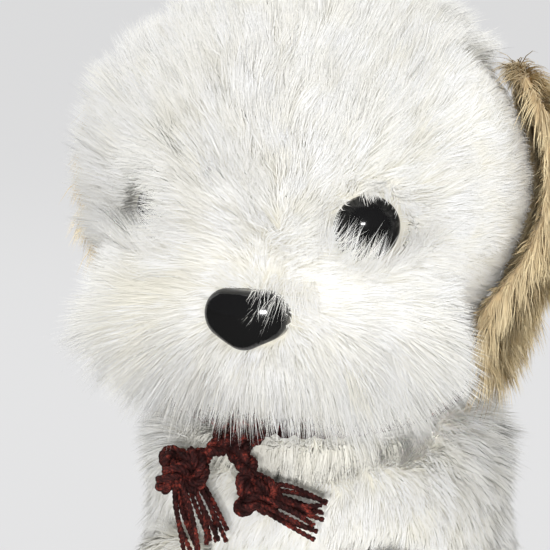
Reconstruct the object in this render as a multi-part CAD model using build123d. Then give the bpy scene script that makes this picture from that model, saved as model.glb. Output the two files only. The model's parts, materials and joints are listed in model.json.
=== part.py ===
from build123d import *
import os
from math import asin, cos, degrees, radians, sin, sqrt

# A small sitting plush dog. Millimetres and degrees. The origin is the centre of the flat
# seat, +Z is up, the dog looks towards -Y, and its own left side is +X.

# Fabric and clearances
pile = 6.0                  # cover cloth with its pile lying down
short_pile = 3.0            # cover cloth of the neck and the tail
sole_thickness = 2.4
seat_thickness = 3.0
running_gap = 0.5           # between pieces that move against each other
fit_gap = 0.05              # between a hard fitting and the cloth round it

# Torso
torso_radius = 53.0         # round the belly
torso_waist = 42.0          # belly centre, up the leaning axis
torso_chest_radius = 48.0
torso_chest = 83.0          # chest centre, up the leaning axis
torso_lean = 13.0           # forward lean

# Neck, with the cord tied round it
neck_above_chest = 30.0     # along the leaning axis of the torso
neck_forward = 6.5          # ahead of that axis
neck_radius = 31.0
neck_tilt = 8.0
neck_turn_limit = 20.0
nod_down_limit = 2.0
nod_up_limit = 14.0
cord_diameter = 6.5

# Head
head_radius = 51.0
head_widening = 7.5         # half width beyond the radius
temple_step = 9.0           # temples rounder than the skull by this much
head_rise = 50.0            # head centre above the neck pivot
head_forward = 2.0          # head centre ahead of the neck pivot
muzzle_radius = 26.0
muzzle_widening = 23.0
cheek_step = 11.0
muzzle_forward = 26.0
muzzle_drop = 29.0
crown_width = 34.0          # crown gusset between the side panels
nape_back = 16.0            # seam of the back panel behind the head centre
chin_drop = 37.0            # seam of the chin panel below the head centre

# Eyes and nose
eye_diameter = 15.0
eye_height = 5.6
eye_rim = 1.0
eye_spread = 27.4           # from the middle plane
eye_drop = 7.5              # below the head centre
nose_width = 19.6
nose_height = 13.4
nose_thickness = 7.0
nose_sink = 1.5             # front of the nose below the tips of the fur
nose_drop = 28.0            # below the head centre
nose_dome = 16.0            # radius of its swelling front
nose_round = 2.6
nose_upper_corner = 5.6
nose_lower_corner = 5.2
shank_diameter = 3.6
shank_length = 15.0
washer_diameter = 14.0
washer_thickness = 1.6
washer_depth = 9.0          # below the back of the eye or nose

# Ears
ear_lining = 2.5
ear_sink = 3.5              # bed that each ear presses into the fur of the head
ear_swell = 4.5             # beyond the fur of the head
ear_sag = 6.0               # how much lower the ear swells than the head
ear_spread = 52.0           # centre line of the ear from the middle plane
ear_back = 16.0             # centre line of the ear behind the head centre
ear_root_radius = 14.0
ear_root_rise = 18.0
ear_lobe_radius = 25.0
ear_lobe_drop = 26.0
ear_inset = 42.0            # inner limit of the ear from the middle plane
ear_hinge_rise = 30.0
ear_flap_limit = 60.0

# Forelegs
shoulder_spread = 25.0
shoulder_forward = 52.0
shoulder_height = 62.0
shoulder_radius = 17.0
forefoot_forward = 74.0
forefoot_radius = 15.5
forefoot_height = 14.0
foreleg_swing_limit = 35.0

# Hind legs
hip_spread = 46.0
hip_forward = 10.0
haunch_radius = 23.5
haunch_height = 22.5
hindfoot_spread = 57.0
hindfoot_forward = 60.0
hindfoot_radius = 16.0
hindfoot_height = 15.0
hindleg_splay_limit = 25.0

# Tail
tail_height = 24.0
tail_root_radius = 9.0
tail_length = 27.0
tail_tip_radius = 8.0
tail_rise = 20.0
tail_wag_limit = 30.0

# Filling
pellet_bag_radius = 20.0
pellet_bag_height = 22.0
pellet_bag_round = 7.0

# Cord knots and tassels
front_knot_radius = 5.5
front_knot_side = 5.0       # towards the dog's right
collar_turn_limit = 10.0
tie_radius = 2.9            # the hanging ends are pulled thinner than the loop
tie_swing_limit = 25.0      # where the end knots meet the chin
right_tie_reach = (-10.6, -7.8, -7.2)    # front knot to the end knot
right_tassel_reach = (4.5, -0.5, -14.3)  # end knot to the tip of its tassel
right_end_knot_radius = 6.5
right_tassel_radius = 7.0
left_tie_reach = (7.7, -7.8, -10.6)
left_tassel_reach = (14.0, -0.5, -2.0)
left_end_knot_radius = 5.5
left_tassel_radius = 6.0

# Blank sewn-in label
label_length = 12.0
label_width = 12.0
label_thickness = 1.0
label_height = 14.0
label_angle = 50.0

WORLD = 400.0               # larger than the whole dog
os.makedirs("parts", exist_ok=True)


def save(name, solid):
    """Write one node's solid to its own STEP file."""
    export_step(solid, os.path.join("parts", name + ".step"))


def mirrored(solid):
    """The same piece on the dog's right side."""
    return mirror(solid, about=Plane.YZ)


def bead_bar(start, line, beads, inset=0.0):
    """Smooth bar of balls along a line, each a (distance, radius), joined by tangent cones."""
    spots = [(place, radius - inset) for place, radius in beads]
    slopes = [-90.0]
    for (place, radius), (next_place, next_radius) in zip(spots, spots[1:]):
        slopes.append(degrees(asin((radius - next_radius) / (next_place - place))))
    slopes.append(90.0)
    outline = Line((0, spots[-1][0] + spots[-1][1]), (0, spots[0][0] - spots[0][1]))
    last = None
    for (place, radius), low, high in zip(spots, slopes, slopes[1:]):
        arc = CenterArc((0, place), radius, low, high - low)
        if last is not None:
            outline += Line(last @ 1, arc @ 0)
        outline += arc
        last = arc
    solid = revolve(Plane.XZ * make_face(outline), Axis.Z)
    return Plane(origin=start, z_dir=line) * solid


def widened(radius, widening, step):
    """Beads of a ball widened to both sides, with smaller balls at its ends."""
    return [(-widening - step, radius - step), (0, radius), (widening + step, radius - step)]


def ball(centre, radius):
    return Pos(*centre) * Sphere(radius)


def half_space(axis, limit, above):
    """Everything above or below a limit along one world axis."""
    shift = limit + (WORLD if above else -WORLD)
    place = {"x": (shift, 0, 0), "y": (0, shift, 0), "z": (0, 0, shift)}[axis]
    return Pos(*place) * Box(2 * WORLD, 2 * WORLD, 2 * WORLD)


def beyond(origin, normal):
    """Everything on the far side of a plane."""
    return Plane(origin=origin, z_dir=normal) * Pos(0, 0, WORLD) * Box(2 * WORLD, 2 * WORLD, 2 * WORLD)


def cut(solid, tools):
    """The solid less each of the tools."""
    for tool in tools:
        solid -= tool
    return solid


def swing_room(start, line, radius, spread):
    """Room for a bar that turns about its round root by up to this angle each way."""
    end_radius = radius + line.length * sin(radians(spread))
    return bead_bar(start, line, [(0, radius), (line.length, end_radius)])


def rod(start, end, start_radius, end_radius):
    """Round bar or frustum between two points."""
    path = Vector(*end) - Vector(*start)
    plane = Plane(origin=start, z_dir=path)
    upright = (Align.CENTER, Align.CENTER, Align.MIN)
    if start_radius == end_radius:
        return plane * Cylinder(start_radius, path.length, align=upright)
    return plane * Cone(start_radius, end_radius, path.length, align=upright)


above_floor = half_space("z", 0.0, True)

# Places worked out from the driving dimensions
lean_sin = sin(radians(torso_lean))
lean_cos = cos(radians(torso_lean))
neck_height = torso_chest + neck_above_chest
neck_pivot = Vector(0, -neck_height * lean_sin - neck_forward, neck_height * lean_cos)
neck_axis = Vector(0, -sin(radians(neck_tilt)), cos(radians(neck_tilt)))
neck_front = Vector(0, -cos(radians(neck_tilt)), -sin(radians(neck_tilt)))
head_centre = neck_pivot + Vector(0, -head_forward, head_rise)
cord_radius = cord_diameter / 2
loop_radius = neck_radius + running_gap + cord_radius
collar_radius = loop_radius + cord_radius
across = Vector(1, 0, 0)
backward = Vector(0, 1, 0)
upward = Vector(0, 0, 1)


# ---- Torso -------------------------------------------------------------------------------

def torso_form(inset):
    """Leaning body from belly to chest, before it is cut flat where it sits."""
    beads = [(torso_waist, torso_radius), (torso_chest, torso_chest_radius)]
    return bead_bar((0, 0, 0), (0, -lean_sin, lean_cos), beads, inset)


def torso_reach(height):
    """How far out the belly's skin lies at a height, from the belly's centre."""
    return sqrt(torso_radius ** 2 - (height - torso_waist * lean_cos) ** 2)


def neck_clearance():
    """What the neck and the cord round it take away from the shoulders."""
    shoulder_top = neck_pivot - neck_axis * (cord_radius + running_gap)
    return [ball(neck_pivot, neck_radius + running_gap), beyond(shoulder_top, neck_axis)]


# ---- Legs and tail -----------------------------------------------------------------------

shoulder = Vector(shoulder_spread, -shoulder_forward, shoulder_height)
forefoot = Vector(shoulder_spread, -forefoot_forward, forefoot_height)
hip = Vector(hip_spread, -hip_forward, haunch_height)
hindfoot = Vector(hindfoot_spread, -hindfoot_forward, hindfoot_height)
hindleg_line = (hindfoot - hip).normalized()


def foreleg_form(grow):
    """Left foreleg: a round shoulder, a straight leg and a round foot."""
    line = forefoot - shoulder
    return bead_bar(shoulder, line, [(0, shoulder_radius), (line.length, forefoot_radius)], -grow)


def hindleg_form(grow):
    """Left hind leg: a round haunch, and a lower leg that lies forward to a round foot."""
    line = hindfoot - hip
    return bead_bar(hip, line, [(0, haunch_radius), (line.length, hindfoot_radius)], -grow)


tail_root = Vector(0, torso_reach(tail_height) - torso_waist * lean_sin, tail_height)
tail_line = Vector(0, cos(radians(tail_rise)), sin(radians(tail_rise)))
tail_wag_axis = Vector(0, -sin(radians(tail_rise)), cos(radians(tail_rise)))


def tail_form(grow):
    """Short round tail, thickest at its root."""
    return bead_bar(tail_root, tail_line, [(0, tail_root_radius), (tail_length, tail_tip_radius)], -grow)


def make_foreleg(side, place):
    inner = foreleg_form(-pile)
    leg = foreleg_form(0) & above_floor
    sole = leg & Pos(0, 0, sole_thickness / 2) * Box(WORLD, WORLD, sole_thickness)
    cover = leg - half_space("z", sole_thickness, False) - inner
    save(f"foreleg_{side}_cover", place(cover))
    save(f"foreleg_{side}_stuffing", place(inner - half_space("z", sole_thickness, False)))
    save(f"foreleg_{side}_sole", place(sole))


def make_hindleg(side, place):
    sole_face = hindfoot + hindleg_line * (hindfoot_radius - sole_thickness)
    past_sole = beyond(sole_face, hindleg_line)
    pad = Plane(origin=sole_face, z_dir=hindleg_line) * Pos(0, 0, -sole_thickness / 2)
    pad = pad * Cylinder(hindfoot_radius, sole_thickness)
    leg = hindleg_form(0) & above_floor
    leg -= past_sole
    sole = leg & pad
    body = leg - pad
    inner = (hindleg_form(-pile) & above_floor) - pad - past_sole
    save(f"hindleg_{side}_cover", place(body - inner))
    save(f"hindleg_{side}_stuffing", place(inner))
    save(f"hindleg_{side}_sole", place(sole))


def make_tail():
    inner = tail_form(-short_pile)
    save("tail_cover", tail_form(0) - inner)
    save("tail_stuffing", inner)


def torso_pockets():
    """What the legs, the tail, the neck and the cord round it take away from the torso."""
    half_swing = foreleg_swing_limit / 2
    mid_swing = (forefoot - shoulder).rotate(Axis((0, 0, 0), -across), half_swing)
    foreleg_room = swing_room(shoulder, mid_swing, shoulder_radius + running_gap, half_swing)
    hindleg_room = hindleg_form(running_gap)
    tail_room = swing_room(tail_root, tail_line * tail_length, tail_root_radius + running_gap, tail_wag_limit)
    legs = [foreleg_room, mirrored(foreleg_room), hindleg_room, mirrored(hindleg_room)]
    return legs + [tail_room] + neck_clearance()


def make_torso():
    pockets = torso_pockets()
    above_seat = half_space("z", seat_thickness, True)
    pellets = Pos(0, 0, seat_thickness + pellet_bag_height / 2) * Cylinder(pellet_bag_radius, pellet_bag_height)
    pellets = fillet(pellets.edges().filter_by(GeomType.CIRCLE), pellet_bag_round)
    slab = Pos(0, 0, seat_thickness / 2) * Box(WORLD, WORLD, seat_thickness)
    save("seat_panel", cut(torso_form(0) & slab, pockets))
    save("pellet_bag", cut(pellets & torso_form(pile), pockets))
    save("torso_stuffing", cut(torso_form(pile) & above_seat, pockets) - pellets)
    shell = torso_form(0) - torso_form(pile)
    cover = cut(shell & above_seat, pockets)
    quarter = Pos(-WORLD / 2, -WORLD / 2) * Box(WORLD, WORLD, 2 * WORLD)
    neck_line = Rot(torso_lean, 0, 0) * Pos(0, -neck_forward, 0)
    for turn, name in enumerate(("front", "left", "back", "right")):
        save(f"torso_{name}_panel", cover & neck_line * Rot(0, 0, 45 + 90 * turn) * quarter)
    save("blank_label", label_tab() - torso_form(0))


def label_tab():
    """Blank tab that stands out of the skin between the left haunch and the tail."""
    length = label_length + torso_reach(label_height)
    tab = Pos(0, length / 2, 0) * Box(label_thickness, length, label_width)
    return Pos(0, -torso_waist * lean_sin, label_height) * Rot(0, 0, -label_angle) * tab


# ---- Neck and head -----------------------------------------------------------------------

def make_neck():
    core = ball(neck_pivot, neck_radius - short_pile)
    save("neck_stuffing", core)
    save("neck_cover", ball(neck_pivot, neck_radius) - core)


skull_beads = widened(head_radius, head_widening, temple_step)
muzzle_beads = widened(muzzle_radius, muzzle_widening, cheek_step)
muzzle_centre = head_centre + Vector(0, -muzzle_forward, -muzzle_drop)


def skull(inset):
    return bead_bar(head_centre, (1, 0, 0), skull_beads, inset)


def muzzle(inset):
    return bead_bar(muzzle_centre, (1, 0, 0), muzzle_beads, inset)


def under_head():
    """What the neck, the cord round it and the nod take away from the head."""
    half_nod = radians((nod_up_limit + nod_down_limit) / 2)
    tilt = radians(neck_tilt + (nod_up_limit - nod_down_limit) / 2)
    up = Vector(0, -sin(tilt), cos(tilt))
    height = cord_radius + 2 * running_gap + collar_radius * sin(half_nod)
    return [ball(neck_pivot, neck_radius + running_gap), beyond(neck_pivot + up * height, -up)]


def eye_plane():
    """Plane on the fur over the left eye, facing out."""
    forward = sqrt(head_radius ** 2 - eye_spread ** 2 - eye_drop ** 2)
    spot = Vector(eye_spread, -forward, -eye_drop)
    return Plane(origin=head_centre + spot, z_dir=spot)


def nose_plane():
    """Plane on the fur over the nose, facing forward, with its own Y up."""
    spot = Vector(0, -muzzle_forward - muzzle_radius, -nose_drop)
    return Plane(origin=head_centre + spot, x_dir=(1, 0, 0), z_dir=(0, -1, 0))


def shank(depth):
    """Post behind a fitting whose back lies at this depth under the fur."""
    return Pos(0, 0, -depth - shank_length / 2) * Cylinder(shank_diameter / 2, shank_length)


def washer(depth):
    """Lock washer on the post, inside the stuffing."""
    disc = Cylinder(washer_diameter / 2, washer_thickness)
    disc -= Cylinder(shank_diameter / 2 + fit_gap, 2 * washer_thickness)
    return Pos(0, 0, -depth - washer_depth) * disc


def fitting_space(depth, outline):
    """Room that a fitting, its post and its washer take in the cloth and stuffing."""
    space = Pos(0, 0, -depth) * extrude(outline, WORLD)
    space += Pos(0, 0, -depth - shank_length / 2) * Cylinder(shank_diameter / 2 + fit_gap, shank_length + fit_gap)
    disc = Cylinder(washer_diameter / 2 + fit_gap, washer_thickness + 2 * fit_gap)
    return space + Pos(0, 0, -depth - washer_depth) * disc


def eye_button():
    """Domed eye with a flat back at the depth of the cloth."""
    radius = eye_diameter / 2
    height = eye_height - eye_rim
    ball_radius = (radius ** 2 + height ** 2) / (2 * height)
    dome = Pos(0, 0, eye_rim + height - ball_radius) * Sphere(ball_radius)
    dome = dome & Pos(0, 0, WORLD / 2 + eye_rim) * Box(WORLD, WORLD, WORLD)
    edge = Pos(0, 0, eye_rim / 2) * Cylinder(radius, eye_rim)
    return Pos(0, 0, -pile) * (dome + edge) + shank(pile)


def nose_outline(grow):
    """Rounded triangle, wide at the top."""
    upper_y = nose_height / 2 - nose_upper_corner
    upper_x = nose_width / 2 - nose_upper_corner
    lower_y = nose_height / 2 - nose_lower_corner
    circles = Pos(upper_x, upper_y) * CenterArc((0, 0), nose_upper_corner + grow, 0, 360)
    circles += Pos(-upper_x, upper_y) * CenterArc((0, 0), nose_upper_corner + grow, 0, 360)
    circles += Pos(0, -lower_y) * CenterArc((0, 0), nose_lower_corner + grow, 0, 360)
    return make_hull(circles.edges())


def nose_button():
    """Rounded triangle with a domed front."""
    dome = Pos(0, 0, nose_thickness - nose_dome) * Rot(90, 0, 0) * Sphere(nose_dome)
    block = extrude(nose_outline(0), nose_thickness) & dome
    front = block.faces().filter_by(GeomType.SPHERE).edges()
    return fillet(front, nose_round)


def make_head():
    eye_room = eye_plane() * fitting_space(pile, Circle(eye_diameter / 2 + fit_gap))
    nose_depth = nose_thickness + nose_sink
    nose_room = nose_plane() * fitting_space(nose_depth, nose_outline(fit_gap))
    eye = eye_plane() * eye_button()
    eye_washer = eye_plane() * washer(pile)
    for side, place in (("left", lambda solid: solid), ("right", mirrored)):
        save(f"eye_{side}", place(eye))
        save(f"eye_{side}_washer", place(eye_washer))
    save("nose", nose_plane() * (Pos(0, 0, -nose_depth) * nose_button() + shank(nose_depth)))
    save("nose_washer", nose_plane() * washer(nose_depth))

    room = under_head() + [eye_room, mirrored(eye_room), nose_room]
    stuffing = skull(pile) + muzzle(pile)
    face = cut(muzzle(0) - skull(0) - stuffing, room)
    scalp = cut(skull(0) - stuffing, room + [ear_bed(), mirrored(ear_bed())])
    save("head_stuffing", cut(stuffing, room))
    chin_seam = head_centre.Z - chin_drop
    below_chin = half_space("z", chin_seam, False)
    nape_seam = head_centre.Y + nape_back
    save("muzzle_panel", face - below_chin)
    save("chin_panel", face & below_chin)
    save("head_back_panel", scalp & half_space("y", nape_seam, True))
    front = scalp & half_space("y", nape_seam, False)
    strip = Box(crown_width, 2 * WORLD, 2 * WORLD)
    save("head_crown_panel", front & strip)
    save("head_left_panel", front & half_space("x", crown_width / 2, True))
    save("head_right_panel", front & half_space("x", -crown_width / 2, False))


# ---- Ears --------------------------------------------------------------------------------

def ear_form():
    """Left ear before it is fitted to the head: narrow at its root and round at its tip."""
    middle = head_centre + Vector(ear_spread, ear_back, 0)
    beads = [(-ear_root_rise, ear_root_radius), (ear_lobe_drop, ear_lobe_radius)]
    return bead_bar(middle, -upward, beads)


def ear_bed():
    """Room for the left ear in the fur of the head."""
    root = Pos(ear_back, ear_root_rise) * CenterArc((0, 0), ear_root_radius + running_gap, 0, 360)
    lobe = Pos(ear_back, -ear_lobe_drop) * CenterArc((0, 0), ear_lobe_radius + running_gap, 0, 360)
    side = Plane(origin=head_centre, x_dir=(0, 1, 0), z_dir=(1, 0, 0))
    room = side * extrude(make_hull((root + lobe).edges()), WORLD)
    return (room & half_space("x", ear_inset - running_gap, True)) - skull(ear_sink)


def ear_hinge():
    """Seam line along the top of the left ear, at the fur of the head."""
    temple = head_widening + temple_step + sqrt((head_radius - temple_step) ** 2 - ear_hinge_rise ** 2)
    return head_centre + Vector(temple, ear_back, ear_hinge_rise)


def make_ears():
    """Each ear is a thick pile cloth outside and a thin lining next to the head."""
    ear = ear_form() & half_space("x", ear_inset, True) & Pos(0, 0, -ear_sag) * skull(-ear_swell)
    ear = ear - skull(ear_sink - running_gap) - ball(neck_pivot, collar_radius + 2 * running_gap)
    outside = half_space("x", ear_inset + ear_lining, True) - skull(ear_sink - running_gap - ear_lining)
    for side, place in (("left", lambda solid: solid), ("right", mirrored)):
        save(f"ear_{side}_back", place(ear & outside))
        save(f"ear_{side}_lining", place(ear - outside))


# ---- Cord tied round the neck ------------------------------------------------------------

front_knot = neck_pivot + neck_front * collar_radius - neck_axis * (front_knot_radius - cord_radius)
front_knot += Vector(-front_knot_side, 0, 0)


def cord_loop():
    return Pos(neck_pivot) * Rot(neck_tilt, 0, 0) * Torus(loop_radius, cord_radius)


def make_collar():
    loop = cord_loop()
    save("cord_loop", loop)
    knot = Rot(0, 0, 90) * Sphere(front_knot_radius)    # turned to keep its seam out of the cord
    save("cord_front_knot", Pos(*front_knot) * knot - loop)


def make_tie(name, tie_reach, tassel_reach, knot_radius, tassel_radius):
    """One hanging end: a short cord, its end knot and the tassel beyond it."""
    knot = front_knot + Vector(*tie_reach)
    end_knot = ball(knot, knot_radius)
    cord = rod(front_knot, knot, tie_radius, tie_radius) - end_knot
    tassel = rod(knot, knot + Vector(*tassel_reach), tie_radius, tassel_radius)
    save(f"tie_{name}_cord", cord - ball(front_knot, front_knot_radius + running_gap))
    save(f"tie_{name}_end_knot", end_knot)
    save(f"tie_{name}_tassel", tassel - end_knot)


make_torso()
make_neck()
make_head()
make_ears()
for side, place in (("left", lambda solid: solid), ("right", mirrored)):
    make_foreleg(side, place)
    make_hindleg(side, place)
make_tail()
make_collar()
make_tie("right", right_tie_reach, right_tassel_reach, right_end_knot_radius, right_tassel_radius)
make_tie("left", left_tie_reach, left_tassel_reach, left_end_knot_radius, left_tassel_radius)

left_hinge = ear_hinge()
joints = [
    ("neck_turn", neck_pivot, neck_axis, -neck_turn_limit, neck_turn_limit),
    ("neck_nod", neck_pivot, -across, -nod_down_limit, nod_up_limit),
    ("ear_left_flap", left_hinge, -backward, 0, ear_flap_limit),
    ("foreleg_left_swing", shoulder, -across, 0, foreleg_swing_limit),
    ("hindleg_left_splay", hip, upward, 0, hindleg_splay_limit),
    ("tail_wag", tail_root, tail_wag_axis, -tail_wag_limit, tail_wag_limit),
    ("collar_turn", neck_pivot, neck_axis, -collar_turn_limit, collar_turn_limit),
    ("tie_swing", front_knot, -across, 0, tie_swing_limit),
]
for name, place, axis, low, high in joints:
    print("joint", name, *place, *axis, low, high)
print("head_centre", *head_centre)
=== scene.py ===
import json
from dataclasses import dataclass
from math import cos, pi, radians, sin

import bmesh
import bpy
import numpy as np
from bpy.props import FloatProperty, FloatVectorProperty, IntProperty, PointerProperty
from mathutils import Matrix, Vector


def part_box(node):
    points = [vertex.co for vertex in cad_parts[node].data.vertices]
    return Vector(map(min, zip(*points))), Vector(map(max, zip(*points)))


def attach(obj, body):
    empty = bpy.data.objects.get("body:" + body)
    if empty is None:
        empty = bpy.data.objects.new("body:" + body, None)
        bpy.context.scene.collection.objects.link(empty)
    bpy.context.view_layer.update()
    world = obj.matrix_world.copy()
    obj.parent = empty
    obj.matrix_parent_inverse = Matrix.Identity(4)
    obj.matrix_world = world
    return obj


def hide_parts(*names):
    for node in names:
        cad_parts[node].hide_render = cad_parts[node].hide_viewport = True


bl_info = {
    "name": "Sitting plush dog",
    "version": (1, 0, 0),
    "blender": (4, 5, 0),
    "location": "3D View > Sidebar > Plush dog",
    "description": "Dresses a packed plush dog in puffed skins, long fur, a braided cord and button eyes",
    "category": "Add Mesh",
}

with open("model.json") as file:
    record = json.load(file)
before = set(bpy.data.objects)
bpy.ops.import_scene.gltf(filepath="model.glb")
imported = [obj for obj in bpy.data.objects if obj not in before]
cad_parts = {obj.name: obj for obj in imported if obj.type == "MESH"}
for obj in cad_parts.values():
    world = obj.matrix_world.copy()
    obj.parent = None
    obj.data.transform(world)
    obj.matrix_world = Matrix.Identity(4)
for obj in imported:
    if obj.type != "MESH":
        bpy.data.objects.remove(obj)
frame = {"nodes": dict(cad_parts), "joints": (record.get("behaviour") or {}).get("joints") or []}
nodes = frame["nodes"]
joints = {joint["name"]: joint for joint in frame["joints"]}
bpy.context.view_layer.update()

MM = 0.001
SIDES = ("left", "right")
LIMBS = [f"{limb}_{side}" for limb in ("foreleg", "hindleg") for side in SIDES]
LIMB_SWELL = 1.2 * MM
HEAD_SQUEEZE = 0.05
PAD_SHARE = 0.93             # soles and seat against their nodes, so that the fur covers their rims
DOWN = np.array((0.0, 0.0, -1.0))


# ---- Places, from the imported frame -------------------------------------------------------

def outward_of(side):
    """The sign of x on one side of the dog."""
    return 1 if side == "left" else -1


def box_middle(node):
    low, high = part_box(node)
    return (low + high) / 2


def head_ball():
    """Centre and radius of the skull, without its muzzle."""
    crown_low, crown_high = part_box("head_crown_panel")
    back_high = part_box("head_back_panel")[1]
    radius = (back_high.y - crown_low.y) / 2
    return Vector((0, back_high.y - radius, crown_high.z - radius)), radius


HEAD, HEAD_RADIUS = head_ball()
NOSE_LOW, NOSE_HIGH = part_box("nose")
NOSE = Vector((0, NOSE_LOW.y, (NOSE_LOW.z + NOSE_HIGH.z) / 2))
NECK = Vector(joints["neck_turn"]["pos_m"])
NECK_AXIS = Vector(joints["neck_turn"]["axis"])
KNOT = Vector(joints["tie_left_swing"]["pos_m"])
TAIL_ROOT = Vector(joints["tail_wag"]["pos_m"])


def eye_spots():
    """Top of each eye's dome, the way it faces, and the radius of its rim."""
    spots = {}
    for side in SIDES:
        places = np.array([corner.co for corner in nodes["eye_" + side].data.vertices]) - np.array(HEAD)
        facing = (box_middle("eye_" + side) - HEAD).normalized()
        depth = places @ np.array(facing)
        radial = np.linalg.norm(places - depth[:, None] * np.array(facing), axis=1)
        spots[side] = (HEAD + facing * float(depth.max()), facing, float(radial.max()))
    return spots


EYES = eye_spots()
NOSE_HALF = (NOSE_HIGH - NOSE_LOW) / 2


# ---- Sizes and colours -------------------------------------------------------------------

def number(name, text, value, **more):
    return FloatProperty(name=name, description=text, default=value, **more)


def length_size(name, text, millimetres):
    return number(name, text, millimetres * MM, subtype="DISTANCE", unit="LENGTH", precision=5)


def tone(name, text, red, green, blue):
    return FloatVectorProperty(name=name, description=text, default=(red, green, blue),
                               subtype="COLOR", size=3, min=0.0, max=1.0)


class PlushFur(bpy.types.PropertyGroup):
    """Lengths, lie and thickness of the fur."""
    face_length: length_size("Face length", "Fur on the forehead and the cheeks", 12.5)
    muzzle_length: length_size("Muzzle length", "Fur round the nose and on the chin", 14.0)
    body_length: length_size("Body length", "Fur on the body", 8.5)
    leg_length: length_size("Leg length", "Fur on the legs and the tail", 8.0)
    neck_length: length_size("Neck length", "Fur on the neck", 6.0)
    ear_length: length_size("Ear length", "Hair on the outside of the ears", 13.0)
    lining_length: length_size("Lining length", "Pile on the inside of the ears", 4.5)
    hair_width: length_size("Hair width", "Width of one tuft of fibres", 0.22)
    clump_size: length_size("Clump size", "Distance between the middles of two locks", 3.2)
    face_density: number("Face density", "Tufts on a square millimetre of the head", 8.0, min=0.1)
    body_density: number("Body density", "Tufts on a square millimetre of the body", 5.0, min=0.1)
    seed: IntProperty(name="Seed", description="Start of the random draws", default=7)


class PlushCloth(bpy.types.PropertyGroup):
    """How the stuffed skins are made."""
    voxel: length_size("Voxel", "Mesh size of a skin before it is puffed", 4.0)
    ear_voxel: length_size("Ear voxel", "Mesh size of the thin ears", 1.6)
    pressure: number("Pressure", "Push of the filling from inside", 4.0)
    frames: IntProperty(name="Frames", description="Steps of the simulation", default=20, min=2)
    puff_limit: length_size("Puff limit", "How far a point of a skin may move", 0.8)


class PlushYarn(bpy.types.PropertyGroup):
    """The braided cord and its tassels."""
    ply_radius: length_size("Ply radius", "Radius of one ply of yarn", 0.62)
    strand_lay: length_size("Strand lay", "Middle of a strand to the middle of its plies", 0.62)
    braid_width: length_size("Braid width", "Swing of a strand to each side of the braid", 1.7)
    braid_depth: length_size("Braid depth", "Swing of a strand through the braid", 0.85)
    braid_pitch: length_size("Braid pitch", "Length of cord that a strand takes to come back", 13.0)
    fringe_count: IntProperty(name="Fringe", description="Yarns in one tassel", default=13, min=3)
    fringe_radius: length_size("Fringe radius", "Radius of one ply in the tassel", 0.36)
    fuzz_length: length_size("Fuzz length", "Loose fibres that stand off the yarn", 1.1)


class PlushColours(bpy.types.PropertyGroup):
    """Colours of the cloths, the yarn and the floor."""
    white_tip: tone("White tips", "Tips of the white fur", 0.91, 0.91, 0.90)
    white_root: tone("White roots", "Roots of the white fur and its backing", 0.90, 0.87, 0.76)
    tan_tip: tone("Tan tips", "Tips of the ear hair", 0.90, 0.76, 0.48)
    tan_root: tone("Tan roots", "Roots of the ear hair and its backing", 0.74, 0.56, 0.32)
    yarn: tone("Yarn", "Dark red yarn", 0.042, 0.008, 0.007)
    # Painted glints: lighter specks that stand in for the shine of the yarn.
    yarn_glint: tone("Yarn light", "Painted glints on the yarn", 0.30, 0.045, 0.028)
    label: tone("Label", "Blank ribbon label", 0.86, 0.86, 0.84)
    backdrop: tone("Backdrop", "Pale floor and background", 0.755, 0.755, 0.76)


class PlushStage(bpy.types.PropertyGroup):
    """Camera and light."""
    azimuth: number("Azimuth", "Camera to the dog's left of straight ahead", radians(20.0), subtype="ANGLE")
    elevation: number("Elevation", "Camera above level", radians(9.0), subtype="ANGLE")
    roll: number("Roll", "Camera turned about its view", radians(2.0), subtype="ANGLE")
    distance: length_size("Distance", "Camera to the head", 480.0)
    field: length_size("Field", "Width of the view at the head", 132.0)
    head_across: length_size("Head across", "Head right of the middle of the view", 10.5)
    head_above: length_size("Head above", "Head above the middle of the view", 24.0)
    flash_watts: number("Flash", "Power of one of the two lamps by the camera", 27.5, unit="POWER")
    flash_back: length_size("Flash back", "Lamps behind the camera", 2200.0)
    fill_watts: number("Fill", "Power of the soft light overhead", 1.2, unit="POWER")
    back_watts: number("Back", "Power of each soft light behind", 3.2, unit="POWER")
    world_strength: number("World", "Strength of the even light", 0.68)
    shown_share: number("Shown share", "Part of the floor's colour that no shadow dims", 0.82)


# ---- Node trees --------------------------------------------------------------------------

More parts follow.
